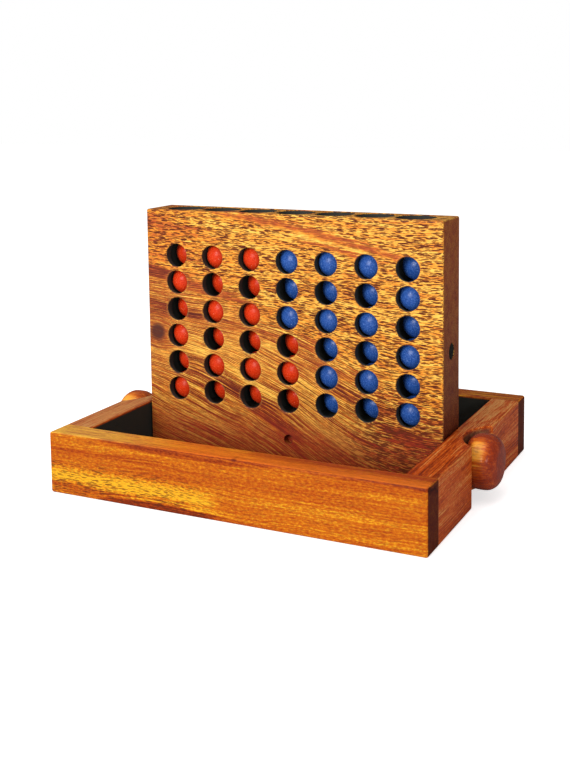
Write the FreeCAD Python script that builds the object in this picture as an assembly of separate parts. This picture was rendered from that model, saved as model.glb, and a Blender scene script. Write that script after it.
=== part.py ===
import FreeCAD, Part
import math
import os

# A wooden four in a row game: an open tray, an upright frame drilled with seven
# wells that hold forty-two balls, and two turned pegs that lock the frame in the tray.
#
# Millimetres. +X runs along the tray to the right, +Y from front to back, +Z up.
# The origin is the centre of the tray's underside.

os.makedirs("parts", exist_ok=True)

# ---- Tray ----
tray_length = 195.6
tray_depth = 156.4
tray_height = 30.5
long_board_thickness = 13.5
side_board_thickness = 15.0
floor_thickness = 6.0
floor_rebate = 5.0
tray_edge_radius = 1.2
tray_mouth_ease = 0.6

# ---- Frame ----
frame_thickness = 24.0
frame_end_clearance = 0.65
frame_storage_clearance = 0.6
frame_edge_radius = 1.0
frame_foot_height = 26.0
column_count = 7
row_count = 6
well_diameter = 20.0
wood_between_wells = 1.4
well_mouth_ease = 0.4
view_hole_diameter = 12.1
view_hole_ease = 0.4
pilot_hole_diameter = 5.0
pilot_hole_depth = 4.0
pilot_hole_height = 13.7

# ---- Balls ----
ball_diameter = 14.9
ball_gap = 0.1
red_columns = 3
red_rows_in_middle_column = 3
ball_lean_angle = 92.0

# ---- Pegs ----
peg_diameter = 8.0
peg_running_clearance = 0.08
peg_hole_depth = 7.0
peg_tip_clearance = 0.5
peg_tip_chamfer = 0.6
knob_diameter = 26.6
knob_length = 16.5
knob_rim_radius = 7.0
knob_dome_height = 0.5
knob_seat_clearance = 0.1
groove_width = 35.0
groove_depth = 8.7
groove_ease = 0.5

# ---- Sizes that follow from those above ----
cavity_length = tray_length - 2 * side_board_thickness
cavity_depth = tray_depth - 2 * long_board_thickness
half_length = tray_length / 2
half_depth = tray_depth / 2

frame_width = cavity_length - 2 * frame_end_clearance
frame_height = cavity_depth - 2 * frame_storage_clearance
frame_bottom = floor_thickness
frame_top = frame_bottom + frame_height
frame_front = -frame_thickness / 2

ball_radius = ball_diameter / 2
well_pitch = well_diameter + wood_between_wells
well_bottom = frame_bottom + frame_foot_height
ball_lean = (well_diameter - ball_diameter) / 2 - ball_gap
row_pitch = math.sqrt((ball_diameter + ball_gap) ** 2 - (2 * ball_lean) ** 2)
first_row_height = well_bottom + ball_gap + ball_radius

peg_hole_diameter = peg_diameter + 2 * peg_running_clearance
peg_axis_height = floor_thickness + frame_thickness / 2
storage_hole_height = frame_bottom + frame_height / 2

# The groove that each knob sits in is an arc in plan, struck from a point outside the board.
groove_radius = (groove_width ** 2 / 4 + groove_depth ** 2) / (2 * groove_depth)
groove_centre = half_length - groove_depth + groove_radius

# The knob's rounded inner rim rests against the arc of the groove, one clearance away.
knob_flat_radius = knob_diameter / 2 - knob_rim_radius
rim_reach = groove_radius - knob_rim_radius - knob_seat_clearance
knob_inner_face = groove_centre - knob_rim_radius - math.sqrt(rim_reach ** 2 - knob_flat_radius ** 2)
knob_outer_face = knob_inner_face + knob_length
peg_tip = frame_width / 2 - peg_hole_depth + peg_tip_clearance

right = FreeCAD.Vector(1, 0, 0)
back = FreeCAD.Vector(0, 1, 0)
up = FreeCAD.Vector(0, 0, 1)


def box_between(low, high):
    """Box with its lowest corner at low and its highest corner at high."""
    size = [high[i] - low[i] for i in range(3)]
    return Part.makeBox(size[0], size[1], size[2], FreeCAD.Vector(*low))


def eased_hole(radius, start, length, direction, ease):
    """Round cutter whose far end flares by ease where it leaves the wood."""
    mouth = start + direction * (length - ease)
    flare = Part.makeCone(radius, radius + 2 * ease, 2 * ease, mouth, direction)
    return Part.makeCylinder(radius, length, start, direction).fuse(flare)


def mirror_to_left(shape):
    """The same shape on the other side of the plane X = 0."""
    return shape.mirror(FreeCAD.Vector(0, 0, 0), right)


def tray_envelope():
    """The outside of the whole tray, with every outer edge rounded."""
    block = box_between((-half_length, -half_depth, 0), (half_length, half_depth, tray_height))
    return block.makeFillet(tray_edge_radius, block.Edges)


def tray_mouth():
    """Cutter that eases the inner top edges of the tray, mitred at the corners."""
    slope = 2 * tray_mouth_ease
    x = cavity_length / 2 + slope
    y = cavity_depth / 2 + slope
    base = tray_height - tray_mouth_ease
    block = box_between((-x, -y, base), (x, y, base + 2 * slope))
    bottom_edges = [edge for edge in block.Edges if edge.CenterOfMass.z < base + slope / 2]
    return block.makeChamfer(slope, bottom_edges)


def floor_panel():
    """Bottom of the tray, let into a rebate in all four boards."""
    x = cavity_length / 2 + floor_rebate
    y = cavity_depth / 2 + floor_rebate
    return box_between((-x, -y, 0), (x, y, floor_thickness))


def front_board():
    """Long board across the whole front, rebated for the floor."""
    low = (-half_length, -half_depth, 0)
    high = (half_length, -cavity_depth / 2, tray_height)
    board = tray_envelope().common(box_between(low, high))
    return board.cut(floor_panel()).cut(tray_mouth())


def right_board():
    """Side board between the long boards, grooved for the knob and bored for the peg."""
    low = (cavity_length / 2, -cavity_depth / 2, 0)
    high = (half_length, cavity_depth / 2, tray_height)
    board = tray_envelope().common(box_between(low, high))
    board = board.cut(floor_panel()).cut(tray_mouth())
    centre = FreeCAD.Vector(groove_centre, 0, 0)
    middle = FreeCAD.Vector(groove_centre, 0, tray_height / 2)
    for direction in (up, -up):
        groove = eased_hole(groove_radius, middle, tray_height / 2, direction, groove_ease)
        board = board.cut(groove)
    inside = FreeCAD.Vector(cavity_length / 2 - side_board_thickness, 0, peg_axis_height)
    bore = Part.makeCylinder(peg_hole_diameter / 2, 2 * side_board_thickness, inside, right)
    return board.cut(bore)


def column_x(column):
    """Place along the frame of a column's axis; column 1 is on the left."""
    return (column - (column_count + 1) / 2) * well_pitch


def row_z(row):
    """Height of a row of view holes and balls; row 1 is at the bottom."""
    return first_row_height + (row - 1) * row_pitch


def well_cutter(column):
    """Blind round well, open at the frame's top edge."""
    start = FreeCAD.Vector(column_x(column), 0, well_bottom)
    return eased_hole(well_diameter / 2, start, frame_top - well_bottom, up, well_mouth_ease)


def view_hole_cutter(column, row):
    """Hole through both faces of the frame, eased at each face."""
    middle = FreeCAD.Vector(column_x(column), 0, row_z(row))
    radius = view_hole_diameter / 2
    front = eased_hole(radius, middle, frame_thickness / 2, -back, view_hole_ease)
    rear = eased_hole(radius, middle, frame_thickness / 2, back, view_hole_ease)
    return front.fuse(rear)


def peg_socket_cutter(side, height):
    """Blind hole for a peg in one end of the frame; side is 1 at the right, -1 at the left."""
    floor_of_hole = FreeCAD.Vector(side * (frame_width / 2 - peg_hole_depth), 0, height)
    return Part.makeCylinder(peg_hole_diameter / 2, peg_hole_depth, floor_of_hole, right * side)


def frame_block():
    """Upright frame: one block with wells, view holes and peg sockets."""
    low = (-frame_width / 2, frame_front, frame_bottom)
    high = (frame_width / 2, -frame_front, frame_top)
    block = box_between(low, high)
    block = block.makeFillet(frame_edge_radius, block.Edges)
    cutters = []
    for column in range(1, column_count + 1):
        cutters.append(well_cutter(column))
        for row in range(1, row_count + 1):
            cutters.append(view_hole_cutter(column, row))
    for side in (1, -1):
        for height in (peg_axis_height, storage_hole_height):
            cutters.append(peg_socket_cutter(side, height))
    pilot_start = FreeCAD.Vector(0, frame_front, frame_bottom + pilot_hole_height)
    cutters.append(Part.makeCylinder(pilot_hole_diameter / 2, pilot_hole_depth, pilot_start, back))
    return block.cut(cutters)


def right_peg():
    """Turned peg: a plain shaft with a rounded knob, in one piece, its axis along X."""
    radius = knob_diameter / 2
    shaft = peg_diameter / 2
    turn = knob_rim_radius * math.sqrt(0.5)
    inner_rim = knob_inner_face + knob_rim_radius
    outer_rim = knob_outer_face - knob_rim_radius
    # Outline as points of (distance along X, distance from the axis).
    tip_centre = FreeCAD.Vector(peg_tip, 0, 0)
    tip_edge = FreeCAD.Vector(peg_tip, 0, shaft - peg_tip_chamfer)
    tip_shoulder = FreeCAD.Vector(peg_tip + peg_tip_chamfer, 0, shaft)
    shaft_end = FreeCAD.Vector(knob_inner_face, 0, shaft)
    face_edge = FreeCAD.Vector(knob_inner_face, 0, knob_flat_radius)
    inner_turn = FreeCAD.Vector(inner_rim - turn, 0, knob_flat_radius + turn)
    inner_crown = FreeCAD.Vector(inner_rim, 0, radius)
    outer_crown = FreeCAD.Vector(outer_rim, 0, radius)
    outer_turn = FreeCAD.Vector(outer_rim + turn, 0, knob_flat_radius + turn)
    dome_edge = FreeCAD.Vector(knob_outer_face, 0, knob_flat_radius)
    dome_top = FreeCAD.Vector(knob_outer_face + knob_dome_height, 0, 0)
    dome_radius = (knob_flat_radius ** 2 + knob_dome_height ** 2) / (2 * knob_dome_height)
    half_angle = math.asin(knob_flat_radius / dome_radius) / 2
    dome_middle = FreeCAD.Vector(
        dome_top.x - dome_radius * (1 - math.cos(half_angle)), 0, dome_radius * math.sin(half_angle))
    outline = Part.Wire([
        Part.makeLine(tip_centre, tip_edge),
        Part.makeLine(tip_edge, tip_shoulder),
        Part.makeLine(tip_shoulder, shaft_end),
        Part.makeLine(shaft_end, face_edge),
        Part.Arc(face_edge, inner_turn, inner_crown).toShape(),
        Part.makeLine(inner_crown, outer_crown),
        Part.Arc(outer_crown, outer_turn, dome_edge).toShape(),
        Part.Arc(dome_edge, dome_middle, dome_top).toShape(),
        Part.makeLine(dome_top, tip_centre),
    ])
    peg = Part.Face(outline).revolve(FreeCAD.Vector(0, 0, 0), right, 360)
    peg.translate(up * peg_axis_height)
    return peg


def is_red(column, row):
    """The left columns are red, and so is the lower part of the middle column."""
    if column <= red_columns:
        return True
    return column == red_columns + 1 and row <= red_rows_in_middle_column


def ball(column, row):
    """Ball in its well: each one leans on the opposite wall from the ball below it."""
    outer_column = column in (1, column_count)
    leans_back = ((row_count - row) % 2 == 0) == outer_column
    angle = math.radians(ball_lean_angle if leans_back else ball_lean_angle + 180)
    x = column_x(column) + ball_lean * math.cos(angle)
    y = ball_lean * math.sin(angle)
    return Part.makeSphere(ball_radius, FreeCAD.Vector(x, y, row_z(row)))


def build_nodes():
    """Every piece of the game by node name."""
    front = front_board()
    side = right_board()
    peg = right_peg()
    nodes = {
        "front_board": front,
        "back_board": front.mirror(FreeCAD.Vector(0, 0, 0), back),
        "left_board": mirror_to_left(side),
        "right_board": side,
        "floor_panel": floor_panel(),
        "frame_block": frame_block(),
        "left_peg": mirror_to_left(peg),
        "right_peg": peg,
    }
    for column in range(1, column_count + 1):
        for row in range(1, row_count + 1):
            colour = "red" if is_red(column, row) else "blue"
            nodes[f"{colour}_ball_c{column}_r{row}"] = ball(column, row)
    return nodes


for name, shape in build_nodes().items():
    solids = shape.Solids
    if len(solids) != 1 or not shape.isValid():
        raise ValueError(f"{name} is not one valid solid")
    solids[0].exportStep(f"parts/{name}.step")
    bounds = shape.BoundBox
    print(f"{name}: X {bounds.XMin:.2f} to {bounds.XMax:.2f}, Y {bounds.YMin:.2f} to "
          f"{bounds.YMax:.2f}, Z {bounds.ZMin:.2f} to {bounds.ZMax:.2f}, {shape.Volume:.0f} mm3")
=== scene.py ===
"""A wooden four in a row frame: a drilled block on two pegs in its tray, with its red and blue balls.

Lengths are in metres where Blender holds them and in millimetres inside the finishes.
"""
import logging
import math
import random
from dataclasses import dataclass, field
from enum import Enum

import bpy
from mathutils import Matrix, Vector


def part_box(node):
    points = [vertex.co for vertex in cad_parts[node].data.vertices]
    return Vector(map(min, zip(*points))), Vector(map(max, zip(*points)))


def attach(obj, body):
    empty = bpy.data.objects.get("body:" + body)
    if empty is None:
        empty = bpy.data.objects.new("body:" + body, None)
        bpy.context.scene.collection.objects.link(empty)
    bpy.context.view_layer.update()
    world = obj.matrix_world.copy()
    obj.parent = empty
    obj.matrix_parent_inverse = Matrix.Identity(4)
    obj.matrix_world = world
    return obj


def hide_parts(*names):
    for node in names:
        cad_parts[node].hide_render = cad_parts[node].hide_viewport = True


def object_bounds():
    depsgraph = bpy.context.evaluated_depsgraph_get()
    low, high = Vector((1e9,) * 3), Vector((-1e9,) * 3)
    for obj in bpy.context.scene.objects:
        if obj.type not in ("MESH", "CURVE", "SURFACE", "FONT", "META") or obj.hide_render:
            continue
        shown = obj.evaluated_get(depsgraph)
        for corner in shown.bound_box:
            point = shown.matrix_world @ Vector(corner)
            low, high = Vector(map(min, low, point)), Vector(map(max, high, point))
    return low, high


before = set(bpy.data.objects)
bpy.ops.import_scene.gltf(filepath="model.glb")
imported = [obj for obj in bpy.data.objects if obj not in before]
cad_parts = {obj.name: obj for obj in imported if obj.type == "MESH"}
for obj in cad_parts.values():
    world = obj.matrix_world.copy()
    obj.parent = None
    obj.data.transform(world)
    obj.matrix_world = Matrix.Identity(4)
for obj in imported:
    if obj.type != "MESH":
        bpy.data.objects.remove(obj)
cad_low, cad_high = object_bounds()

MM = 0.001
COLUMNS = 7
ROWS = 6
log = logging.getLogger("four_in_a_row")

Triple = tuple[float, float, float]
Colour = tuple[float, float, float, float]
Source = "Field | float | tuple | str"


def srgb(red: int, green: int, blue: int) -> Colour:
    """Turns a colour as seen on a screen into the linear colour that shaders use.

    Args:
        red: The red part, from 0 to 255.
        green: The green part, from 0 to 255.
        blue: The blue part, from 0 to 255.

    Returns:
        The linear red, green and blue, and an alpha of 1.
    """
    parts = [part / 255 for part in (red, green, blue)]
    linear = [p / 12.92 if p <= 0.04045 else ((p + 0.055) / 1.055) ** 2.4 for p in parts]
    return (linear[0], linear[1], linear[2], 1.0)


class Field:
    """One value in a node tree, which adds and multiplies like a number."""

    def __init__(self, graph: "Graph", socket: bpy.types.NodeSocket) -> None:
        """Keeps the graph and the socket that the value comes out of."""
        self.graph = graph
        self.socket = socket

    def __add__(self, other: Source) -> "Field":
        """Returns the sum."""
        return self.graph.math("ADD", self, other)

    def __radd__(self, other: Source) -> "Field":
        """Returns the sum."""
        return self.graph.math("ADD", self, other)

    def __sub__(self, other: Source) -> "Field":
        """Returns the difference."""
        return self.graph.math("SUBTRACT", self, other)

    def __rsub__(self, other: Source) -> "Field":
        """Returns the difference, taken the other way round."""
        return self.graph.math("SUBTRACT", other, self)

    def __mul__(self, other: Source) -> "Field":
        """Returns the product."""
        return self.graph.math("MULTIPLY", self, other)

    def __rmul__(self, other: Source) -> "Field":
        """Returns the product."""
        return self.graph.math("MULTIPLY", self, other)

    def __truediv__(self, other: Source) -> "Field":
        """Returns the quotient."""
        return self.graph.math("DIVIDE", self, other)


class Graph:
    """Builds a node tree, a node at a time."""

    def __init__(self, tree: bpy.types.NodeTree) -> None:
        """Starts on a tree."""
        self.tree = tree

    def feed(self, socket: bpy.types.NodeSocket, source: Source) -> None:
        """Links a field to an input, or sets the input to a constant.

        Args:
            socket: The input.
            source: A field, or the constant.
        """
        if isinstance(source, Field):
            self.tree.links.new(source.socket, socket)
        else:
            socket.default_value = source

    def node(self, kind: str, sources: dict | None = None, **settings: object) -> bpy.types.Node:
        """Adds a node.

        Args:
            kind: The node's type name.
            sources: What feeds its inputs, by the input's name or number.
            settings: The node's own properties.

        Returns:
            The new node.
        """
        made = self.tree.nodes.new(kind)
        for name, value in settings.items():
            setattr(made, name, value)
        for name, source in (sources or {}).items():
            self.feed(made.inputs[name], source)
        return made

    def out(self, kind: str, sources: dict | None = None, output: str | int = 0,
            **settings: object) -> Field:
        """Adds a node and returns one of its outputs as a field.

        Args:
            kind: The node's type name.
            sources: What feeds its inputs.
            output: The output's name or number.
            settings: The node's own properties.

        Returns:
            The output.
        """
        return Field(self, self.node(kind, sources, **settings).outputs[output])

    def math(self, operation: str, first: Source, second: Source = 0.0, third: Source = 0.0) -> Field:
        """Returns a sum, product or other function of up to three values."""
        return self.out("ShaderNodeMath", {0: first, 1: second, 2: third}, operation=operation)

    def length(self, first: Field, second: Field) -> Field:
        """Returns the length of the flat vector with these two parts."""
        return self.math("SQRT", first * first + second * second)

    def vector(self, x: Source, y: Source, z: Source) -> Field:
        """Returns the vector with these three parts."""
        return self.out("ShaderNodeCombineXYZ", {0: x, 1: y, 2: z})

    def scaled(self, vector: Source, scale: Source) -> Field:
        """Returns a vector times a number."""
        return self.out("ShaderNodeVectorMath", {0: vector, "Scale": scale}, operation="SCALE")

    def parts(self, vector: Source) -> tuple[Field, Field, Field]:
        """Returns the three parts of a vector."""
        split = self.node("ShaderNodeSeparateXYZ", {0: vector})
        return Field(self, split.outputs[0]), Field(self, split.outputs[1]), Field(self, split.outputs[2])

    def noise(self, vector: Source, detail: float = 1.0, roughness: float = 0.5) -> Field:
        """Returns smooth noise from 0 to 1 that changes over about one unit of the vector."""
        sources = {"Vector": vector, "Scale": 1.0, "Detail": detail, "Roughness": roughness}
        return self.out("ShaderNodeTexNoise", sources, "Fac")

    def smooth(self, value: Source, low: Source, high: Source) -> Field:
        """Returns a smooth step from 0 at low to 1 at high."""
        sources = {"Value": value, "From Min": low, "From Max": high}
        return self.out("ShaderNodeMapRange", sources, interpolation_type="SMOOTHSTEP")

    def fade(self, value: Source, low: Source, high: Source) -> Field:
        """Returns a smooth step from 1 at low to 0 at high."""
        return 1.0 - self.smooth(value, low, high)

    def mix(self, amount: Source, first: Source, second: Source, blend: str = "MIX") -> Field:
        """Blends two colours.

        Args:
            amount: All first at 0 and all second at 1.
            first: The colour to start from.
            second: The colour to blend in.
            blend: How the second colour is laid over the first.

        Returns:
            The blend.
        """
        made = self.node("ShaderNodeMix", data_type="RGBA", blend_type=blend)
        self.feed(made.inputs[0], amount)
        self.feed(made.inputs[6], first)
        self.feed(made.inputs[7], second)
        return Field(self, made.outputs[2])

    def ramp(self, value: Source, stops: list[tuple[float, Colour]]) -> Field:
        """Returns a colour that runs through the stops as the value goes from 0 to 1.

        Args:
            value: The place on the ramp.
            stops: Each stop's place and colour, in order.

        Returns:
            The colour.
        """
        made = self.node("ShaderNodeValToRGB", {0: value})
        elements = made.color_ramp.elements
        while len(elements) < len(stops):
            elements.new(0.5)
        for element, (place, colour) in zip(elements, stops):
            element.position = place
            element.color = colour
        return Field(self, made.outputs[0])

    def group(self, tree: bpy.types.NodeTree, sources: dict) -> dict[str, Field]:
        """Places a node group.

        Args:
            tree: The group.
            sources: What feeds its inputs, by name.

        Returns:
            Its outputs, by name.
        """
        made = self.node("ShaderNodeGroup", node_tree=tree)
        for name, source in sources.items():
            self.feed(made.inputs[name], source)
        return {socket.name: Field(self, socket) for socket in made.outputs}


class SharedGroup:
    """A node group that several materials place, each with its own values."""

    def __init__(self, name: str, inputs: dict[str, float | Triple]) -> None:
        """Makes the empty group with its inputs.

        Args:
            name: The group's name.
            inputs: Each input's name and default, a number or three for a vector.
        """
        self.tree = bpy.data.node_groups.new(name, "ShaderNodeTree")
        self.graph = Graph(self.tree)
        for label, default in inputs.items():
            kind = "NodeSocketFloat" if isinstance(default, (int, float)) else "NodeSocketVector"
            socket = self.tree.interface.new_socket(name=label, in_out="INPUT", socket_type=kind)
            socket.default_value = default
        source = self.graph.node("NodeGroupInput")
        self.inputs = {label: Field(self.graph, source.outputs[label]) for label in inputs}

    def give(self, outputs: dict[str, Field]) -> bpy.types.NodeTree:
        """Ends the group.

        Args:
            outputs: Each output's name and the field that it puts out.

        Returns:
            The finished group.
        """
        for label in outputs:
            self.tree.interface.new_socket(name=label, in_out="OUTPUT", socket_type="NodeSocketFloat")
        self.graph.node("NodeGroupOutput", outputs)
        return self.tree


def wood_grain_group() -> bpy.types.NodeTree:
    """Makes the grain of a porous hardwood.

    Returns:
        A group that puts out the pores, the long fibres, the broad bands and the mottle.
    """
    group = SharedGroup("wood_grain", {
        "Grain": (0.0, 0.0, 0.0), "Pore Rise": 0.0, "Pore Length": 5.5, "Pore Width": 1.1, "Pore Size": 0.4,
        "Fibre Width": 0.6, "Band Width": 6.0, "Mottle Size": 2.0, "Seed": 0.0})
    g, ask = group.graph, group.inputs
    along, across, up = g.parts(ask["Grain"])
    seed = ask["Seed"] * 17.3
    fibre_length, band_length = 45.0, 130.0

    def stretched(length: Source, width: Source, shift: float) -> Field:
        """Returns the grain in cells of that length and width, with a shift of its own for each layer."""
        return g.vector(along / length + seed, across / width + shift, up / width)

    def dashes(scale: float, shift: float) -> Field:
        """Makes one layer of pores, cut open along the fibres into tapered dashes.

        Args:
            scale: The size of its pores, as a share of the full size.
            shift: The layer's shift.

        Returns:
            1 in a pore and 0 beside it.
        """
        bent = ask["Pore Rise"] + (g.noise(stretched(4.0, 2.5, shift + 3.0), 1.0) - 0.5) * 0.9
        length, width = ask["Pore Length"] * scale, ask["Pore Width"] * scale
        cells = g.vector(along / length + seed, across / width + shift, bent / width)
        away = g.out("ShaderNodeTexVoronoi", {"Vector": cells, "Scale": 1.0, "Randomness": 1.0}, "Distance",
                     feature="F1")
        size = ask["Pore Size"] + (crowding - 0.5) * 0.2
        return g.fade(away, size - 0.05, size + 0.015)

    crowding = g.noise(stretched(18.0, 7.0, 5.0), 1.0)
    pores = g.math("MAXIMUM", dashes(1.0, 0.0), dashes(0.62, 37.0) * 0.9)
    fibre = g.smooth(g.noise(stretched(fibre_length, ask["Fibre Width"], 11.0), 3.0, 0.7), 0.34, 0.66)
    band = g.smooth(g.noise(stretched(band_length, ask["Band Width"], 23.0), 2.0, 0.55), 0.2, 0.8)
    mottle_length = ask["Mottle Size"] * 2.0
    mottle = g.smooth(g.noise(stretched(mottle_length, ask["Mottle Size"], 41.0), 2.0, 0.6), 0.25, 0.75)
    return group.give({"Pores": pores, "Fibres": fibre, "Bands": band, "Mottle": mottle})


def edge_wear_group() -> bpy.types.NodeTree:
    """Makes the lighter, rubbed edges of a square-cut board.

    Returns:
        A group that puts out 1 on the edges of a box and 0 away from them.
    """
    group = SharedGroup("edge_wear", {
        "Place": (0.0, 0.0, 0.0), "Centre": (0.0, 0.0, 0.0), "Half Size": (10.0, 10.0, 10.0), "Width": 1.5})
    g, ask = group.graph, group.inputs
    places = zip(g.parts(ask["Place"]), g.parts(ask["Centre"]), g.parts(ask["Half Size"]))
    depth = [half - g.math("ABSOLUTE", place - centre) for place, centre, half in places]
    low = g.math("MINIMUM", depth[0], depth[1])
    high = g.math("MAXIMUM", depth[0], depth[1])
    second = g.math("MAXIMUM", low, g.math("MINIMUM", high, depth[2]))
    first = g.math("MINIMUM", low, depth[2])
    ragged = g.noise(g.scaled(ask["Place"], 0.3), 2.0)
    wear = g.fade(second + (ragged - 0.5) * ask["Width"], 0.0, ask["Width"])
    return group.give({"Wear": wear, "Depth": first})


def end_grain_group() -> bpy.types.NodeTree:
    """Makes the mask of the faces that are cut across the grain.

    Returns:
        A group that puts out 1 where the face looks along the grain.
    """
    group = SharedGroup("end_grain", {"Normal": (0.0, 0.0, 1.0), "Axis": (1.0, 0.0, 0.0)})
    g, ask = group.graph, group.inputs
    facing = g.out("ShaderNodeVectorMath", {0: ask["Normal"], 1: ask["Axis"]}, "Value",
                   operation="DOT_PRODUCT")
    return group.give({"End": g.smooth(g.math("ABSOLUTE", facing), 0.72, 0.98)})


def streak_group() -> bpy.types.NodeTree:
    """Makes one coloured streak that runs along a board's face in a shallow curve.

    Returns:
        A group that puts out 1 in the streak's middle and fades to 0 at its sides and tips.
    """
    group = SharedGroup("wood_streak", {
        "Along": 0.0, "Up": 0.0, "Start": -10.0, "End": 10.0, "Height": 0.0, "Slope": 0.0, "Bend": 0.0,
        "Width": 3.0})
    g, ask = group.graph, group.inputs
    run = ask["Along"] - ask["Start"]
    path = ask["Height"] + run * (ask["Slope"] + run * ask["Bend"])
    off = g.math("ABSOLUTE", ask["Up"] - path)
    side = g.fade(off, ask["Width"] * 0.25, ask["Width"] * 1.15)
    tips = g.smooth(run, -6.0, 6.0) * g.fade(ask["Along"] - ask["End"], -8.0, 8.0)
    return group.give({"Streak": side * tips})


def ball_paint_group() -> bpy.types.NodeTree:
    """Makes the skin of a dipped and dried coat of paint.

    Returns:
        A group that puts out its fine specks and its orange peel.
    """
    group = SharedGroup("ball_paint", {"Place": (0.0, 0.0, 0.0), "Cell": 0.7})
    g, ask = group.graph, group.inputs
    cell = g.vector(ask["Cell"], ask["Cell"], ask["Cell"])
    cells = g.out("ShaderNodeVectorMath", {0: ask["Place"], 1: cell}, operation="DIVIDE")
    speck = g.noise(cells, 2.0, 0.7)
    peel = g.noise(g.scaled(cells, 0.42), 2.0, 0.5)
    return group.give({"Specks": speck, "Peel": peel})


@dataclass(frozen=True)
class Groups:
    """The shared node groups, each made once."""

    grain: bpy.types.NodeTree = field(default_factory=wood_grain_group)
    wear: bpy.types.NodeTree = field(default_factory=edge_wear_group)
    end: bpy.types.NodeTree = field(default_factory=end_grain_group)
    streak: bpy.types.NodeTree = field(default_factory=streak_group)
    paint: bpy.types.NodeTree = field(default_factory=ball_paint_group)


@dataclass(frozen=True)
class Box:
    """Where a piece lies: its centre and half its size, in millimetres."""

    centre: Triple
    half: Triple

    @classmethod
    def around(cls, *nodes: str) -> "Box":
        """Measures the box around some pieces of the frame.

        Args:
            nodes: The pieces' names.

        Returns:
            The box.
        """
        corners = [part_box(node) for node in nodes]
        low = [min(c[0][i] for c in corners) / MM for i in range(3)]
        high = [max(c[1][i] for c in corners) / MM for i in range(3)]
        centre = tuple((a + b) / 2 for a, b in zip(low, high))
        half = tuple((b - a) / 2 for a, b in zip(low, high))
        return cls(centre, half)


class GrainAxis(Enum):
    """Which way the fibres of a piece of wood run."""

    ALONG_X = (1.0, 0.0, 0.0)
    ALONG_Y = (0.0, 1.0, 0.0)


@dataclass(frozen=True)
class Streak:
    """A streak through three points of a board's face, each (along, up) in millimetres.

    The shift is how much lighter than its surroundings the streak is, or darker where it is negative,
    and calm is how much of the pores it hides.
    """

    first: tuple[float, float]
    middle: tuple[float, float]
    last: tuple[float, float]
    width: float
    shift: float
    calm: float = 0.0

    def curve(self) -> tuple[float, float]:
        """Lays a parabola through the three points.

        Returns:
            Its slope at the start and its bend.
        """
        run_a, rise_a = self.middle[0] - self.first[0], self.middle[1] - self.first[1]
        run_b, rise_b = self.last[0] - self.first[0], self.last[1] - self.first[1]
        bend = (rise_b / run_b - rise_a / run_a) / (run_b - run_a)
        return rise_a / run_a - bend * run_a, bend


PALE_GOLD = srgb(250, 196, 104)
RUST = srgb(160, 66, 22)
UMBER = srgb(84, 34, 14)
FOOT_RED = srgb(146, 36, 24)
KNOT_BROWN = srgb(74, 36, 30)
TOP_ORANGE = srgb(240, 122, 34)
NICK_BROWN = srgb(96, 26, 12)
# near-black colour of the shade painted inside holes, notches and the tray
BORE_SHADE = srgb(54, 55, 51)


@dataclass(frozen=True)
class Spot:
    """A place on a piece in millimetres: along the tray, from front to back, and up."""

    x: Field
    y: Field
    z: Field


PLAIN_TONE = 0.55
TONE_STOPS = (0.0, 0.25, 0.48, 0.7, 0.95)
CALM_OF_ENDS = 0.6
ROUGHER_PORES = 0.22
ROUGHER_ENDS = 0.15
ROUGHER_BORES = 0.3
GRAIN_DEPTH = 0.06 * MM


class Surface:
    """A material while it is built, with the place in millimetres and the normal that every finish needs."""

    def __init__(self, name: str) -> None:
        """Starts an empty material.

        Args:
            name: The material's name.
        """
        self.material = bpy.data.materials.new(name)
        self.material.use_nodes = True
        self.material.node_tree.nodes.clear()
        self.graph = Graph(self.material.node_tree)
        coordinates = self.graph.node("ShaderNodeTexCoord")
        self.place = self.graph.scaled(Field(self.graph, coordinates.outputs["Object"]), 1 / MM)
        self.normal = Field(self.graph, coordinates.outputs["Normal"])

    def finish(self, sources: dict) -> bpy.types.Material:
        """Ends the material.

        Args:
            sources: What feeds the principled shader's inputs, by name.

        Returns:
            The finished material.
        """
        shader = self.graph.node("ShaderNodeBsdfPrincipled", sources)
        self.graph.node("ShaderNodeOutputMaterial", {"Surface": Field(self.graph, shader.outputs[0])})
        return self.material


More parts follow.
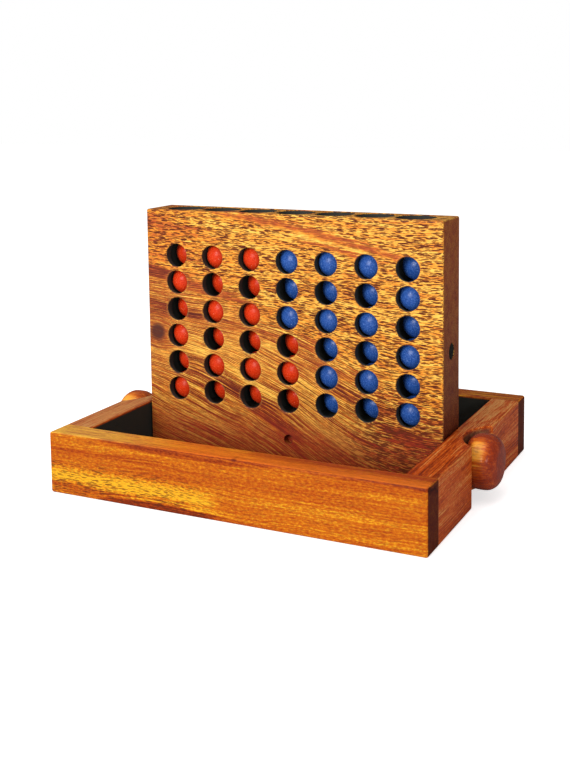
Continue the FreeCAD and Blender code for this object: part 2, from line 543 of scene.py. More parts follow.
@dataclass(frozen=True)
class WoodFinish:
    """Oiled and lacquered hardwood."""

    name: str
    groups: Groups
    box: Box
    axis: GrainAxis = GrainAxis.ALONG_X
    tones: tuple[Colour, ...] = (srgb(90, 28, 12), srgb(132, 48, 18), srgb(178, 80, 24), srgb(220, 124, 34),
                                 srgb(246, 176, 70))
    pore_colour: Colour = UMBER
    pore_length: float = 5.0
    pore_width: float = 1.0
    pore_size: float = 0.36
    pore_strength: float = 0.55
    fibre_width: float = 0.6
    fibre_share: float = 0.5
    band_width: float = 6.0
    band_share: float = 0.7
    mottle_size: float = 2.0
    mottle_share: float = 0.3
    tone_shift: float = 0.0
    end_tint: Colour = srgb(150, 120, 110)
    wear_strength: float = 0.15
    roughness: float = 0.42
    specular: float = 0.2
    coat: float = 0.1
    seed: float = 1.0
    streaks: tuple[Streak, ...] = ()

    def flow(self, g: Graph, at: Spot) -> Field:
        """Returns the height of each point measured across the fibres."""
        wave = g.noise(g.vector(at.x / 55.0, at.y / 40.0, at.z / 40.0), 1.0)
        return at.z + (wave - 0.5) * 5.0

    def pore_rise(self, g: Graph, at: Spot, up: Field) -> Field:
        """Returns the height that the pores are laid out by, which is the fibres' own height here."""
        return up

    def tone(self, g: Graph, at: Spot) -> Field | float:
        """Returns how much lighter than plain each place is."""
        return self.tone_shift

    def threads(self, g: Graph, at: Spot) -> Field | float:
        """Returns how strongly the long fibres show at each place."""
        return 1.0

    def open_pores(self, g: Graph, at: Spot) -> Field | float:
        """Returns how strongly the pores show at each place."""
        return 1.0

    def tint(self, g: Graph, at: Spot, colour: Field) -> Field:
        """Returns the colour with what only this piece has."""
        return colour

    def bore_shade(self, g: Graph, at: Spot, depth: Field) -> Field | None:
        """Returns the mask of the drilled walls, where shade is painted dark, or nothing for a piece with
        none.
        """
        return None

    def material(self) -> bpy.types.Material:
        """Builds the finish.

        Returns:
            The material.
        """
        surface = Surface(self.name)
        g = surface.graph
        at = Spot(*g.parts(surface.place))
        up = self.flow(g, at)
        side = 1 if self.axis is GrainAxis.ALONG_X else 0
        along, across = (at.x, at.y) if side else (at.y, at.x)
        inset = across - (self.box.centre[side] - self.box.half[side])
        grain = g.group(self.groups.grain, {
            "Grain": g.vector(along, across, up), "Pore Rise": self.pore_rise(g, at, up),
            "Pore Length": self.pore_length, "Pore Width": self.pore_width, "Pore Size": self.pore_size,
            "Fibre Width": self.fibre_width, "Band Width": self.band_width, "Mottle Size": self.mottle_size,
            "Seed": self.seed})
        edges = g.group(self.groups.wear, {
            "Place": surface.place, "Centre": self.box.centre, "Half Size": self.box.half})
        end = g.group(self.groups.end, {"Normal": surface.normal, "Axis": self.axis.value})["End"]
        bands = (grain["Bands"] - 0.5) * self.band_share
        fibres = (grain["Fibres"] - 0.5) * self.fibre_share * self.threads(g, at)
        mottle = (grain["Mottle"] - 0.5) * self.mottle_share
        tone = PLAIN_TONE + (bands + fibres) + mottle + self.tone(g, at)
        calm = end * CALM_OF_ENDS
        for streak in self.streaks:
            mask = self.streak_mask(g, streak, along, inset, at.z, grain)
            tone = tone + mask * streak.shift
            calm = g.math("MAXIMUM", calm, mask * streak.calm)
        colour = g.ramp(tone, list(zip(TONE_STOPS, self.tones)))
        colour = self.tint(g, at, colour)
        pores = grain["Pores"] * self.open_pores(g, at) * (1.0 - calm)
        colour = g.mix(pores * self.pore_strength, colour, self.pore_colour)
        colour = g.mix(edges["Wear"] * self.wear_strength, colour, g.mix(0.5, colour, PALE_GOLD))
        colour = g.mix(end, colour, g.mix(1.0, colour, self.end_tint, "MULTIPLY"))
        rough = self.roughness + pores * ROUGHER_PORES + end * ROUGHER_ENDS
        relief = (grain["Fibres"] - 0.5) * 0.5 - pores
        bore_shade_mask = self.bore_shade(g, at, edges["Depth"])
        if bore_shade_mask is not None:
            # painted shade: drilled walls, notch walls and the tray's inner walls are darkened to a
            # near-black colour
            colour = g.mix(bore_shade_mask, colour, BORE_SHADE)
            rough = rough + bore_shade_mask * ROUGHER_BORES
        bump = g.out("ShaderNodeBump", {"Strength": 0.5, "Distance": GRAIN_DEPTH, "Height": relief})
        return surface.finish({
            "Base Color": colour, "Roughness": rough, "Normal": bump, "IOR": 1.45,
            "Specular IOR Level": self.specular, "Coat Weight": self.coat, "Coat Roughness": 0.2})

    def streak_mask(self, g: Graph, streak: Streak, along: Field, inset: Field, up: Field,
                    grain: dict[str, Field]) -> Field:
        """Lays one streak.

        Args:
            g: The material's graph.
            streak: The streak.
            along: The place along the fibres.
            inset: The depth below the front face.
            up: The height.
            grain: The grain group's outputs.

        Returns:
            1 in the streak and 0 away from it.
        """
        slope, bend = streak.curve()
        ragged = (grain["Bands"] - 0.5) * 5.0 + (grain["Fibres"] - 0.5) * 1.6 + inset * 0.3
        return g.group(self.groups.streak, {
            "Along": along, "Up": up + ragged, "Start": streak.first[0], "End": streak.last[0],
            "Height": streak.first[1], "Slope": slope, "Bend": bend, "Width": streak.width})["Streak"]


@dataclass(frozen=True, kw_only=True)
class FrameWood(WoodFinish):
    """The frame's figured block, golden above with red-brown streaks that dive to the right below."""

    column_pitch: float
    row_pitch: float
    lowest_row: float
    view_hole_radius: float = 6.05
    knot: tuple[float, float] = (-76.7, 69.0)
    pilot_height: float = 19.0
    deepest_dive: float = 24.0

    def knot_distance(self, g: Graph, at: Spot) -> Field:
        """Returns the distance from the knot's heart."""
        return g.length(at.x - self.knot[0], at.z - self.knot[1])

    def flow(self, g: Graph, at: Spot) -> Field:
        """Bends the fibres, which dive to the right low down and part round the knot.

        Args:
            g: The material's graph.
            at: The place on the piece.

        Returns:
            The height of each point measured across the fibres.
        """
        dive, share = self.dive(g, at)
        wave = g.noise(g.vector(at.x / 42.0, at.y / 40.0, at.z / 26.0), 1.5)
        near_knot = g.fade(self.knot_distance(g, at), 2.0, 17.0)
        return at.z + dive * share + (wave - 0.5) * 7.0 - (at.z - self.knot[1]) * near_knot * 0.7

    def dive(self, g: Graph, at: Spot) -> tuple[Field, Field]:
        """Measures the dive, which starts gently, steepens past the left third and ends near the right end.

        Args:
            g: The material's graph.
            at: The place on the piece.

        Returns:
            How far the fibres have dived at each place, and how much of that shows at its height.
        """
        steeper_from, steeper_ease = -30.0, 20.0
        level_from, level_ease = 50.0, 35.0
        left_run = g.math("SMOOTH_MIN", at.x, level_from, level_ease)
        past_left = g.math("SMOOTH_MAX", at.x, steeper_from, steeper_ease)
        middle_run = g.math("SMOOTH_MIN", past_left, level_from, level_ease)
        return left_run * 0.36 + middle_run * 0.16, 1.0 - g.smooth(at.z, 38.0, 104.0) * 0.86

    def pore_rise(self, g: Graph, at: Spot, up: Field) -> Field:
        """Returns the height that the pores are laid out by, which follows the dive but not its waves."""
        dive, share = self.dive(g, at)
        return at.z + (dive - self.deepest_dive) * share * 0.7

    def tone(self, g: Graph, at: Spot) -> Field:
        """Darkens the wood in its red-brown part, towards the foot and towards the left end.

        Args:
            g: The material's graph.
            at: The place on the piece.

        Returns:
            How much lighter than plain each place is.
        """
        foot = g.fade(at.z, 20.0, 78.0) * 0.06 + g.fade(at.z, 6.0, 26.0) * 0.1
        left_end = g.fade(at.x, -82.0, -40.0) * g.smooth(at.z, 25.0, 60.0) * 0.18
        return self.tone_shift - (1.0 - self.golden(g, at)) * 0.14 - foot - left_end

    def golden(self, g: Graph, at: Spot) -> Field:
        """Returns 1 in the golden upper right and 0 in the red-brown lower left."""
        return g.smooth(at.z + at.x * 0.4, 58.0, 82.0)

    def threads(self, g: Graph, at: Spot) -> Field:
        """Returns the strength of the figure, which shows most in the lower left."""
        return 2.5 - self.golden(g, at) * 1.9

    def open_pores(self, g: Graph, at: Spot) -> Field:
        """Returns the strength of the pores, which the long fibres hide at the lower left."""
        return g.math("MAXIMUM", self.golden(g, at), g.smooth(at.x, 22.0, 52.0)) * 0.55 + 0.45

    def hole_distance(self, g: Graph, at: Spot) -> Field:
        """Measures the distance from the middle of the nearest view hole.

        Args:
            g: The material's graph.
            at: The place on the piece.

        Returns:
            The distance.
        """
        column = g.math("ROUND", at.x / self.column_pitch)
        last_column = (COLUMNS - 1) / 2
        column = g.math("MINIMUM", g.math("MAXIMUM", column, -last_column), last_column)
        row = g.math("ROUND", (at.z - self.lowest_row) / self.row_pitch)
        row = g.math("MINIMUM", g.math("MAXIMUM", row, 0.0), ROWS - 1)
        off_x = at.x - column * self.column_pitch
        off_z = at.z - self.lowest_row - row * self.row_pitch
        return g.length(off_x, off_z)

    def tint(self, g: Graph, at: Spot, colour: Field) -> Field:
        """Adds the knot, the reddened foot, the shaded ends and the lighter rims of the view holes, which
        are sanded and partly a painted highlight.

        Args:
            g: The material's graph.
            at: The place on the piece.
            colour: The wood's colour so far.

        Returns:
            The colour with all of these.
        """
        distance = self.knot_distance(g, at)
        front = g.fade(at.y, -4.0, 9.0)
        rings = g.math("SINE", distance * 3.4) * 0.5 + 0.5
        halo = g.fade(distance, 4.0, 11.0) * front
        colour = g.mix(halo * (0.35 + rings * 0.3), colour, RUST)
        colour = g.mix(g.fade(distance, 2.8, 6.0) * front * 0.95, colour, KNOT_BROWN)
        colour = g.mix(g.fade(at.z, 16.0, 46.0) * 0.72, colour, FOOT_RED)
        shaded_end = g.fade(at.z, 30.0, 120.0) * g.smooth(g.math("ABSOLUTE", at.x), 81.4, 82.0)
        colour = g.mix(shaded_end * 0.4, colour, UMBER)
        # lighter ring round each view hole: the sanded rim and, in part, a painted highlight on its eased
        # edge
        off_rim = g.math("ABSOLUTE", self.hole_distance(g, at) - self.view_hole_radius - 0.55)
        rim_wear_and_highlight = g.fade(off_rim, 0.0, 0.6)
        return g.mix(rim_wear_and_highlight * 0.12, colour, PALE_GOLD)

    def bore_shade(self, g: Graph, at: Spot, depth: Field) -> Field:
        """Returns the mask of the walls of the wells, view holes and peg holes, but not the pilot hole,
        where shade is painted dark.
        """
        off_pilot = g.length(at.x, at.z - self.pilot_height)
        return g.smooth(depth, 0.1, 0.55) * g.smooth(off_pilot, 3.2, 4.2)


@dataclass(frozen=True)
class PaintFinish:
    """Satin paint on a turned wooden ball."""

    name: str
    groups: Groups
    colour: Colour
    deep: Colour
    light: Colour
    painted_glint: Colour
    specular: float

    def material(self) -> bpy.types.Material:
        """Builds the finish.

        Returns:
            The material.
        """
        surface = Surface(self.name)
        g = surface.graph
        paint = g.group(self.groups.paint, {"Place": surface.place})
        colour = g.mix(g.smooth(paint["Specks"], 0.5, 0.72) * 0.5, self.colour, self.light)
        colour = g.mix(g.smooth(paint["Specks"], 0.46, 0.28) * 0.4, colour, self.deep)
        # painted highlight: the brightest specks are mixed towards a near-white glint colour
        colour = g.mix(g.smooth(paint["Specks"], 0.68, 0.76) * 0.7, colour, self.painted_glint)
        pin = g.out("ShaderNodeAttribute", output="Fac", attribute_name="pin_mark")
        colour = g.mix(pin * 0.85, colour, self.deep)
        relief = paint["Peel"] * 0.7 + paint["Specks"] * 0.3
        bump = g.out("ShaderNodeBump", {"Strength": 0.7, "Distance": 0.25 * MM, "Height": relief})
        rough = 0.28 + (paint["Specks"] - 0.5) * 0.3
        return surface.finish({
            "Base Color": colour, "Roughness": rough, "Normal": bump, "IOR": 1.5,
            "Specular IOR Level": self.specular})


class BallTree:
    """The geometry tree that turns a point in space into a painted ball."""

    def __init__(self) -> None:
        """Builds the tree with its named inputs."""
        self.tree = bpy.data.node_groups.new("painted_ball", "GeometryNodeTree")
        self.sockets: dict[str, str] = {}
        kinds = {
            "Radius": "NodeSocketFloat", "Centre": "NodeSocketVector", "Pin Direction": "NodeSocketVector",
            "Pin Radius": "NodeSocketFloat", "Pin Depth": "NodeSocketFloat", "Unevenness": "NodeSocketFloat",
            "Seed": "NodeSocketFloat", "Paint": "NodeSocketMaterial"}
        self.tree.interface.new_socket(name="Geometry", in_out="INPUT", socket_type="NodeSocketGeometry")
        for name, kind in kinds.items():
            socket = self.tree.interface.new_socket(name=name, in_out="INPUT", socket_type=kind)
            self.sockets[name] = socket.identifier
        self.tree.interface.new_socket(name="Geometry", in_out="OUTPUT", socket_type="NodeSocketGeometry")
        g = Graph(self.tree)
        source = g.node("NodeGroupInput")
        ask = {name: Field(g, source.outputs[name]) for name in kinds}
        sphere = g.out("GeometryNodeMeshIcoSphere", {"Radius": 1.0, "Subdivisions": 5})
        place = g.out("GeometryNodeInputPosition")
        shift = g.vector(ask["Seed"], 0.0, 0.0)
        shifted = g.out("ShaderNodeVectorMath", {0: g.scaled(place, 2.2), 1: shift}, operation="ADD")
        lumps = g.noise(shifted, 1.0)
        away = g.out("ShaderNodeVectorMath", {0: place, 1: ask["Pin Direction"]}, "Value",
                     operation="DISTANCE")
        pin = g.fade(away, ask["Pin Radius"] * 0.35, ask["Pin Radius"])
        reach = ask["Radius"] - lumps * ask["Unevenness"] - pin * ask["Pin Depth"]
        skin = g.scaled(place, reach)
        moved = g.out("ShaderNodeVectorMath", {0: skin, 1: ask["Centre"]}, operation="ADD")
        marked = g.out("GeometryNodeStoreNamedAttribute",
                       {"Geometry": sphere, "Name": "pin_mark", "Value": pin},
                       data_type="FLOAT", domain="POINT")
        shaped = g.out("GeometryNodeSetPosition", {"Geometry": marked, "Position": moved})
        soft = g.out("GeometryNodeSetShadeSmooth", {"Geometry": shaped})
        real = g.out("GeometryNodeRealizeInstances", {"Geometry": soft})
        painted = g.out("GeometryNodeSetMaterial", {"Geometry": real, "Material": ask["Paint"]})
        g.node("NodeGroupOutput", {"Geometry": painted})

    def grow(self, name: str, values: dict[str, object]) -> bpy.types.Object:
        """Makes one ball as a plain mesh.

        Args:
            name: The new object's name.
            values: The tree's inputs, by name.

        Returns:
            The ball, with its place in its mesh.
        """
        seedling = bpy.data.objects.new(name, bpy.data.meshes.new(name))
        bpy.context.scene.collection.objects.link(seedling)
        growth = seedling.modifiers.new("painted_ball", "NODES")
        growth.node_group = self.tree
        for label, value in values.items():
            growth[self.sockets[label]] = value
        evaluated = seedling.evaluated_get(bpy.context.evaluated_depsgraph_get())
        mesh = bpy.data.meshes.new_from_object(evaluated)
        seedling.modifiers.remove(growth)
        empty = seedling.data
        seedling.data = mesh
        bpy.data.meshes.remove(empty)
        mesh.name = name
        return seedling


@dataclass
class Balls:
    """The forty-two painted balls, one column after another, from the bottom up."""

    groups: Groups
    pin_radius: float = 0.055
    pin_depth: float = 0.35 * MM
    pin_rise: float = 0.6
    unevenness: float = 0.07 * MM
    seed: int = 4

    def paints(self) -> dict[str, bpy.types.Material]:
        """Mixes the two paints.

        Returns:
            The paints, by colour name.
        """
        red = PaintFinish(
            "red_paint_finish", self.groups, colour=srgb(212, 52, 18), deep=srgb(140, 14, 8),
            light=srgb(232, 92, 40), painted_glint=srgb(250, 190, 170), specular=0.14)
        blue = PaintFinish(
            "blue_paint_finish", self.groups, colour=srgb(40, 80, 154), deep=srgb(14, 32, 90),
            light=srgb(84, 132, 210), painted_glint=srgb(190, 214, 250), specular=0.28)
        return {"red": red.material(), "blue": blue.material()}

    def build(self) -> None:
        """Builds every ball in the place of its plain solid."""
        paints = self.paints()
        tree = BallTree()
        draw = random.Random(self.seed)
        for column in range(1, COLUMNS + 1):
            for row in range(1, ROWS + 1):
                node = next(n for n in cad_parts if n.endswith(f"_ball_c{column}_r{row}"))
                shade = node.split("_")[0]
                low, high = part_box(node)
                turn = draw.uniform(0, math.tau)
                rise = draw.uniform(-self.pin_rise, self.pin_rise)
                level = math.cos(rise)
                pin = Vector((math.cos(turn) * level, math.sin(turn) * level, math.sin(rise)))
                ball = tree.grow(f"painted_{node}", {
                    "Radius": (high.z - low.z) / 2, "Centre": (low + high) / 2, "Pin Direction": pin,
                    "Pin Radius": self.pin_radius, "Pin Depth": self.pin_depth,
                    "Unevenness": self.unevenness, "Seed": draw.uniform(0, 50), "Paint": paints[shade]})
                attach(ball, f"ball_c{column}_r{row}")
                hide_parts(node)
            log.info("column %d has its %d balls", column, ROWS)


def dress(node: str, finish: WoodFinish) -> None:
    """Gives a piece of the frame its finish.

    Args:
        node: The piece's name.
        finish: The wood that it is made of.
    """
    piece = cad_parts[node]
    piece.data.materials.clear()
    piece.data.materials.append(finish.material())
    log.info("%s is finished in %s", node, finish.name)


@dataclass
class FrameBlock:
    """The upright block with its wells and view holes."""

    groups: Groups

    def streaks(self) -> tuple[Streak, ...]:
        """Returns the block's streaks from the top down."""
        return (
            Streak((-44, 135), (10, 126.5), (66, 114.5), 2.6, -0.3, 0.5),
            Streak((-10, 128), (25, 121), (45, 116), 1.5, 0.12, 0.6),
            Streak((5, 122.5), (25, 118), (52, 111.5), 1.3, -0.28, 0.6),
            Streak((-86, 128), (-60, 124), (-35, 118), 3.0, -0.12),
            Streak((-86, 104), (-53, 95), (-20, 88), 3.6, -0.36, 0.4),
            Streak((-86, 86), (-72, 84), (-50, 80), 4.0, -0.34, 0.4),
            Streak((-86, 80), (-42, 77), (24, 67), 3.0, -0.3, 0.4),
            Streak((-86, 60), (-62, 54), (-38, 44), 3.0, 0.25),
            Streak((-62, 68), (-7, 40.5), (45, 16), 2.8, 0.3),
            Streak((-60, 54), (-31, 41.7), (6, 20), 5.0, -0.5),
            Streak((-5, 63), (20, 58), (50, 56), 4.0, -0.26, 0.4),
            Streak((20, 51), (34, 46), (50, 43), 4.0, -0.36),
            Streak((44, 43), (58, 41), (72, 39), 3.2, -0.32),
            Streak((-86, 40), (-34, 21), (4, 10), 2.0, 0.08),
            Streak((-86, 24), (-30, 8), (12, -8), 8.0, 0.06),
            Streak((30, 36), (44, 30), (58, 20), 6.0, 0.3),
            Streak((50, 32), (66, 28), (88, 23), 5.0, -0.44),
        )

    def build(self) -> None:
        """Dresses the block."""
        box = Box.around("frame_block")
        first = Box.around("red_ball_c1_r1")
        last = Box.around(f"blue_ball_c{COLUMNS}_r{ROWS}")
        dress("frame_block", FrameWood(
            name="frame_block_wood", groups=self.groups, box=box,
            tones=(srgb(88, 28, 16), srgb(142, 52, 22), srgb(188, 86, 26), srgb(228, 144, 36),
                   srgb(250, 194, 80)),
            pore_colour=srgb(96, 36, 6), pore_length=5.4, pore_width=0.76, pore_size=0.425,
            pore_strength=1.0, band_width=4.0, band_share=0.3, fibre_width=0.5, fibre_share=0.5,
            mottle_size=2.4, mottle_share=0.2, tone_shift=0.225, end_tint=srgb(164, 120, 98),
            wear_strength=0.06, seed=2.0, streaks=self.streaks(),
            column_pitch=(last.centre[0] - first.centre[0]) / (COLUMNS - 1),
            row_pitch=(last.centre[2] - first.centre[2]) / (ROWS - 1), lowest_row=first.centre[2]))


@dataclass(frozen=True, kw_only=True)
class BoardWood(WoodFinish):
    """A tray board: lacquered outside, with tops that redden to the right, painted sheen and shade on the
    tops, and inner walls painted dark as shade.
    """

    wall: float
    top_left: float
    top_right: float
    top_back_sheen: float = 0.0
    pale_top_and_sheen: Colour = PALE_GOLD
    pale_top_and_sheen_share: float = 0.0
    orange_share: float = 0.0
    top_threads: float = 0.8
    nick: float | None = None

    def top(self, g: Graph, at: Spot) -> Field:
        """Returns the mask of the board's top face."""
        height = self.box.centre[2] + self.box.half[2]
        return g.smooth(at.z, height - 0.6, height - 0.1)

    def tone(self, g: Graph, at: Spot) -> Field:
        """Changes the tone of the top from left to right, lightens it towards the back as a painted sheen,
        and leaves the rest even.

        Args:
            g: The material's graph.
            at: The place on the piece.

        Returns:
            How much lighter than plain each place is.
        """
        run = g.smooth(at.x, -60.0, 50.0)
        # painted sheen: the top is made lighter towards the back
        back = g.smooth(at.y, -20.0, 40.0) * self.top_back_sheen
        change = run * (self.top_right - self.top_left) + self.top_left + back
        return self.tone_shift + self.top(g, at) * change

    def threads(self, g: Graph, at: Spot) -> Field:
        """Returns the strength of the long fibres, which show more on the top."""
        return self.top(g, at) * self.top_threads + 1.0

    def open_pores(self, g: Graph, at: Spot) -> Field:
        """Returns the strength of the pores, which show most in the pale lower left."""
        return g.fade(at.x, -30.0, 10.0) * g.fade(at.z, 14.0, 19.0) * 0.65 + 0.35

    def tint(self, g: Graph, at: Spot, colour: Field) -> Field:
        """Pales the top at the left (a painted sheen on the left board), reddens it at the right with
        painted shade in dark red on its back part, and cuts a dark nick in its edge, if any.

        Args:
            g: The material's graph.
            at: The place on the piece.
            colour: The wood's colour so far.

        Returns:
            The colour with all of these.
        """
        height = self.box.centre[2] + self.box.half[2]
        top = self.top(g, at)
        reddened = g.smooth(at.x, -80.0, -10.0)
        # paler top at the left; on the left board this is a painted sheen
        colour = g.mix(top * (1.0 - reddened) * self.pale_top_and_sheen_share, colour, self.pale_top_and_sheen)
        # painted shade: the back part of the top is turned dark red towards the right
        shaded = g.smooth(at.y, -75.0, -67.0) * g.smooth(at.x, -40.0, 60.0) * 0.9
        blush = top * reddened * self.orange_share
        colour = g.mix(blush * (1.0 - shaded), colour, TOP_ORANGE)
        colour = g.mix(blush * shaded, colour, FOOT_RED)
        if self.nick is None:
            return colour
        near = g.fade(g.length((at.x - self.nick) * 0.4, at.z - height + 0.6), 0.2, 0.9)
        return g.mix(near * g.fade(at.y, -76.0, -74.0) * 0.9, colour, NICK_BROWN)

    def bore_shade(self, g: Graph, at: Spot, depth: Field) -> Field:
        """Finds the tray's inner walls, and what is cut into the boards from outside, where shade is painted
        dark.

        Args:
            g: The material's graph.
            at: The place on the piece.
            depth: The depth below the tray's outer box.

        Returns:
            1 on the walls with painted shade and 0 outside.
        """
        side = 1 if self.axis is GrainAxis.ALONG_X else 0
        through = (at.x, at.y)[side] - self.box.centre[side]
        inset = self.box.half[side] - g.math("ABSOLUTE", through)
        inward = g.smooth(inset, self.wall - 0.5, self.wall - 0.1)
        top = self.box.centre[2] + self.box.half[2]
        below = g.fade(at.z, top - 1.4, top - 0.5)
        cut_in = g.smooth(depth, 0.4, 2.2) * 0.65
        return g.math("MAXIMUM", inward * below, cut_in)


@dataclass
class Tray:
    """The four boards and the floor of the tray."""

    groups: Groups
    nick: float = 5.5

    def build(self) -> None:
        """Dresses the boards and the floor."""
        tray = Box.around("front_board", "back_board", "left_board", "right_board")
        self.dress_long_boards(tray)
        self.dress_side_boards(tray)
        # painted shade: the floor panel's tones are all very dark, for the shade inside the tray
        dress("floor_panel", WoodFinish(
            name="floor_panel_wood", groups=self.groups, box=Box.around("floor_panel"),
            tones=(srgb(40, 22, 14), srgb(50, 28, 16), srgb(62, 34, 18), srgb(76, 42, 22), srgb(92, 54, 30)),
            seed=9.0, roughness=0.6, coat=0.0))

    def dress_long_boards(self, tray: Box) -> None:
        """Dresses the front and back boards, whose ends show.

        Args:
            tray: The box around all four boards.
        """
        streaks = (
            # painted shade: the first streak, dark just under the top edge, is the shadowed side of the
            # rounded edge
            Streak((-70, 31), (20, 30), (104, 29.4), 1.5, -0.4),
            Streak((-104, 20), (-60, 22), (-10, 21), 1.6, -0.14),
            Streak((-130, 8), (-60, 8.5), (-6, 8), 6.0, 0.36),
            Streak((-66, 0), (-40, 1.5), (-6, 0), 2.4, -0.42),
            Streak((-10, 15), (30, 14), (80, 15), 3.0, 0.05),
            Streak((-20, 3), (40, 4), (104, 3), 2.0, 0.08),
        )
        looks = (("front_board", 4.0, -0.24, 0.66, self.nick), ("back_board", 12.0, -0.1, 0.28, None))
        for node, seed, top_right, orange, nick in looks:
            low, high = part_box(node)
            dress(node, BoardWood(
                name=f"{node}_wood", groups=self.groups, box=tray,
                tones=(srgb(88, 28, 10), srgb(130, 44, 8), srgb(166, 70, 8), srgb(190, 102, 12),
                       srgb(222, 162, 30)),
                pore_length=6.5, pore_width=0.7, pore_size=0.33, pore_strength=0.8, band_width=5.0,
                band_share=0.2, fibre_share=0.2, mottle_size=0.9, mottle_share=0.3, tone_shift=0.08,
                end_tint=srgb(130, 92, 74), wear_strength=0.0, specular=0.1, coat=0.0, seed=seed,
                streaks=streaks, wall=(high.y - low.y) / MM, top_left=0.26, top_right=top_right,
                pale_top_and_sheen_share=0.3, orange_share=orange, top_threads=3.5, nick=nick))

    def dress_side_boards(self, tray: Box) -> None:
        """Dresses the boards that the pegs pass through.

        Args:
            tray: The box around all four boards.
        """
        # painted sheen: the left board's top is made lighter by its top tones and pale top colour, and both
        # tops towards the back
        looks = (("left_board", 6.0, 0.22, 0.1), ("right_board", 7.0, -0.12, -0.12))
        for node, seed, top_left, top_right in looks:
            low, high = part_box(node)
            dress(node, BoardWood(
                name=f"{node}_wood", groups=self.groups, box=tray, axis=GrainAxis.ALONG_Y,
                tones=(srgb(110, 32, 6), srgb(146, 48, 8), srgb(182, 70, 10), srgb(200, 92, 24),
                       srgb(208, 142, 76)),
                pore_length=6.0, pore_width=1.0, pore_size=0.34, pore_strength=0.45, band_width=5.0,
                band_share=0.4, fibre_share=0.55, mottle_size=1.4, mottle_share=0.25, specular=0.12,
                coat=0.0, seed=seed, wall=(high.x - low.x) / MM, top_left=top_left, top_right=top_right,
                top_back_sheen=0.36, top_threads=0.4, pale_top_and_sheen=srgb(180, 140, 92), pale_top_and_sheen_share=0.3))


@dataclass(frozen=True, kw_only=True)
class KnobWood(WoodFinish):
    """A turned and polished knob, with a painted pool of light on its upper front."""

    middle: float
    painted_lit_patch: float = 0.5

    def tone(self, g: Graph, at: Spot) -> Field:
        """Lightens the upper front of the knob as painted light, but not its two ends.

        Args:
            g: The material's graph.
            at: The place on the piece.

        Returns:
            How much lighter than plain each place is.
        """
        # painted light: a lighter patch where the light falls on the knob's upper front
        ahead = g.smooth(self.box.centre[1] - at.y, self.box.half[1] * 0.1, self.box.half[1] * 0.8)
        above = g.smooth(at.z - self.box.centre[2], -self.box.half[2] * 0.25, self.box.half[2] * 0.45)
        right_end = g.smooth(at.x, self.middle + 6.0, self.middle - 0.5)
        left_end = g.smooth(at.x, self.middle - 7.5, self.middle - 3.0)
        return self.tone_shift + (ahead * above + 0.04) * right_end * left_end * self.painted_lit_patch


@dataclass
class Pegs:
    """The two turned pegs with their knobs."""

    groups: Groups
    knob_reach: float = 8.5

    def build(self) -> None:
        """Dresses both pegs, whose knobs reach that far to each side of their middle."""
        for node, seed, shift in (("left_peg", 14.0, 0.06), ("right_peg", 15.0, -0.14)):
            box = Box.around(node)
            dress(node, KnobWood(
                name=f"{node}_wood", groups=self.groups, box=box,
                middle=math.copysign(abs(box.centre[0]) + box.half[0] - self.knob_reach, box.centre[0]),
                tones=(srgb(88, 24, 12), srgb(124, 38, 16), srgb(156, 56, 20), srgb(204, 98, 26),
                       srgb(246, 166, 60)),
                pore_length=8.0, pore_width=0.7, pore_size=0.3, pore_strength=0.35, band_width=2.4,
                band_share=0.24, fibre_share=0.2, mottle_share=0.1, tone_shift=shift, wear_strength=0.0,
                end_tint=srgb(250, 232, 190), roughness=0.26, specular=0.25, coat=0.12, seed=seed))


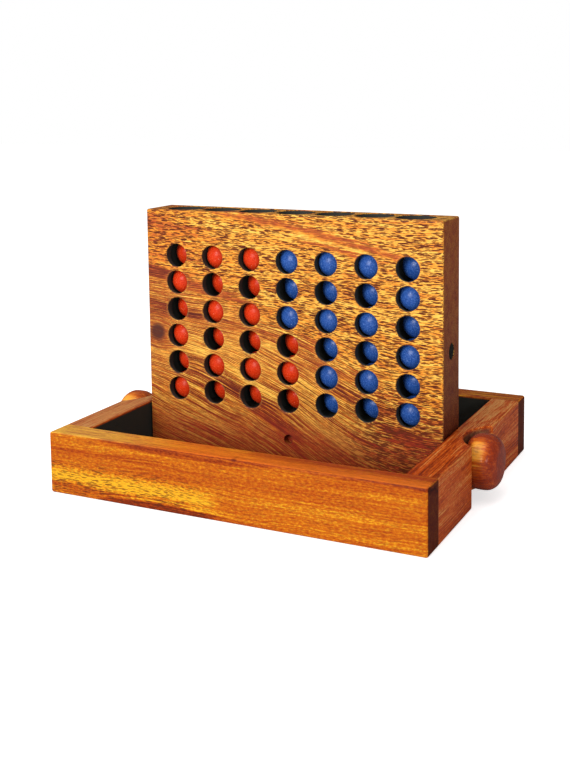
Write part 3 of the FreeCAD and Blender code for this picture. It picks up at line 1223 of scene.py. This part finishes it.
@dataclass
class Studio:
    """The pale floor, the soft lights and the camera."""

    floor_size: float = 6.0
    floor_colour: Colour = (0.92, 0.92, 0.92, 1.0)
    mirrored_floor_colour: Colour = (0.3, 0.3, 0.3, 1.0)
    floor_glow: float = 0.6
    world_strength: float = 0.5
    mirrored_world_loss: float = 0.75
    camera_place: Triple = (0.24812, -0.50385, 0.19422)
    camera_yaw: float = 0.44694
    camera_pitch: float = 0.10468
    camera_roll: float = -0.01085
    camera_lens: float = 52.984
    camera_shift: tuple[float, float] = (-0.0303, -0.2237)

    def build(self) -> None:
        """Builds the studio round the object."""
        self.lay_floor()
        self.hang_lights()
        self.place_camera()
        bpy.context.scene.view_settings.view_transform = "Standard"
        log.info("the studio is ready")

    def lay_floor(self) -> None:
        """Lays the floor that the tray stands on."""
        half = self.floor_size / 2
        mesh = bpy.data.meshes.new("studio_floor")
        level = cad_low.z
        corners = [(-half, -half, level), (half, -half, level), (half, half, level), (-half, half, level)]
        mesh.from_pydata(corners, [], [(0, 1, 2, 3)])
        made = bpy.data.materials.new("studio_floor_paint")
        made.use_nodes = True
        g = Graph(made.node_tree)
        shader = made.node_tree.nodes["Principled BSDF"]
        shader.inputs["Roughness"].default_value = 0.9
        shader.inputs["Specular IOR Level"].default_value = 0.1
        shader.inputs["Emission Color"].default_value = (1.0, 1.0, 1.0, 1.0)
        rays = g.node("ShaderNodeLightPath")
        g.feed(shader.inputs["Emission Strength"], Field(g, rays.outputs["Is Camera Ray"]) * self.floor_glow)
        mirrored = Field(g, rays.outputs["Is Glossy Ray"])
        g.feed(shader.inputs["Base Color"], g.mix(mirrored, self.floor_colour, self.mirrored_floor_colour))
        mesh.materials.append(made)
        floor = bpy.data.objects.new("studio_floor", mesh)
        bpy.context.scene.collection.objects.link(floor)

    def hang_lights(self) -> None:
        """Hangs the key light at the front left, a weak fill at the right, and an even white world."""
        world = bpy.data.worlds.new("studio_world")
        world.use_nodes = True
        g = Graph(world.node_tree)
        background = world.node_tree.nodes["Background"]
        rays = g.node("ShaderNodeLightPath")
        seen = Field(g, rays.outputs["Is Camera Ray"])
        mirrored = Field(g, rays.outputs["Is Glossy Ray"])
        strength = self.world_strength + seen * (1.0 - self.world_strength)
        g.feed(background.inputs[1], strength - mirrored * (self.world_strength * self.mirrored_world_loss))
        background.inputs[0].default_value = (1.0, 1.0, 1.0, 1.0)
        bpy.context.scene.world = world
        self.hang("key_light", (-0.35, -1.7, 0.62), 0.7, 22.5)
        self.hang("side_light", (1.1, -1.25, 0.55), 0.25, 3.0)
        self.hang("top_light", (-0.1, -0.35, 1.3), 0.9, 5.5)

    def hang(self, name: str, place: Triple, size: float, power: float) -> None:
        """Hangs a square area light that looks at the middle of the object.

        Args:
            name: The light's name.
            place: Where it hangs, in metres.
            size: Its side, in metres.
            power: Its power, in watts.
        """
        data = bpy.data.lights.new(name, "AREA")
        data.size = size
        data.energy = power
        light = bpy.data.objects.new(name, data)
        light.location = place
        target = (cad_low + cad_high) / 2
        light.rotation_mode = "QUATERNION"
        light.rotation_quaternion = (target - Vector(place)).to_track_quat("-Z", "Y")
        bpy.context.scene.collection.objects.link(light)

    def place_camera(self) -> None:
        """Places the camera at the front right, just above the top of the frame."""
        yaw, roll = self.camera_yaw, self.camera_roll
        level = math.cos(self.camera_pitch)
        forward = Vector((-math.sin(yaw) * level, math.cos(yaw) * level, -math.sin(self.camera_pitch)))
        level_right = Vector((math.cos(yaw), math.sin(yaw), 0.0))
        level_up = level_right.cross(forward)
        right = level_right * math.cos(roll) + level_up * math.sin(roll)
        up = right.cross(forward)
        turn = Matrix((right, up, -forward)).transposed().to_4x4()
        data = bpy.data.cameras.new("studio_camera")
        data.lens = self.camera_lens
        data.shift_x, data.shift_y = self.camera_shift
        camera = bpy.data.objects.new("studio_camera", data)
        camera.matrix_world = Matrix.Translation(self.camera_place) @ turn
        bpy.context.scene.collection.objects.link(camera)
        bpy.context.scene.camera = camera


def main() -> None:
    """Builds the object's pieces in order, and the studio last."""
    logging.basicConfig(level=logging.INFO, format="%(name)s: %(message)s")
    groups = Groups()
    for section in (Tray(groups), FrameBlock(groups), Pegs(groups), Balls(groups), Studio()):
        section.build()
        log.info("%s done", type(section).__name__)


if __name__ == "__main__":
    main()
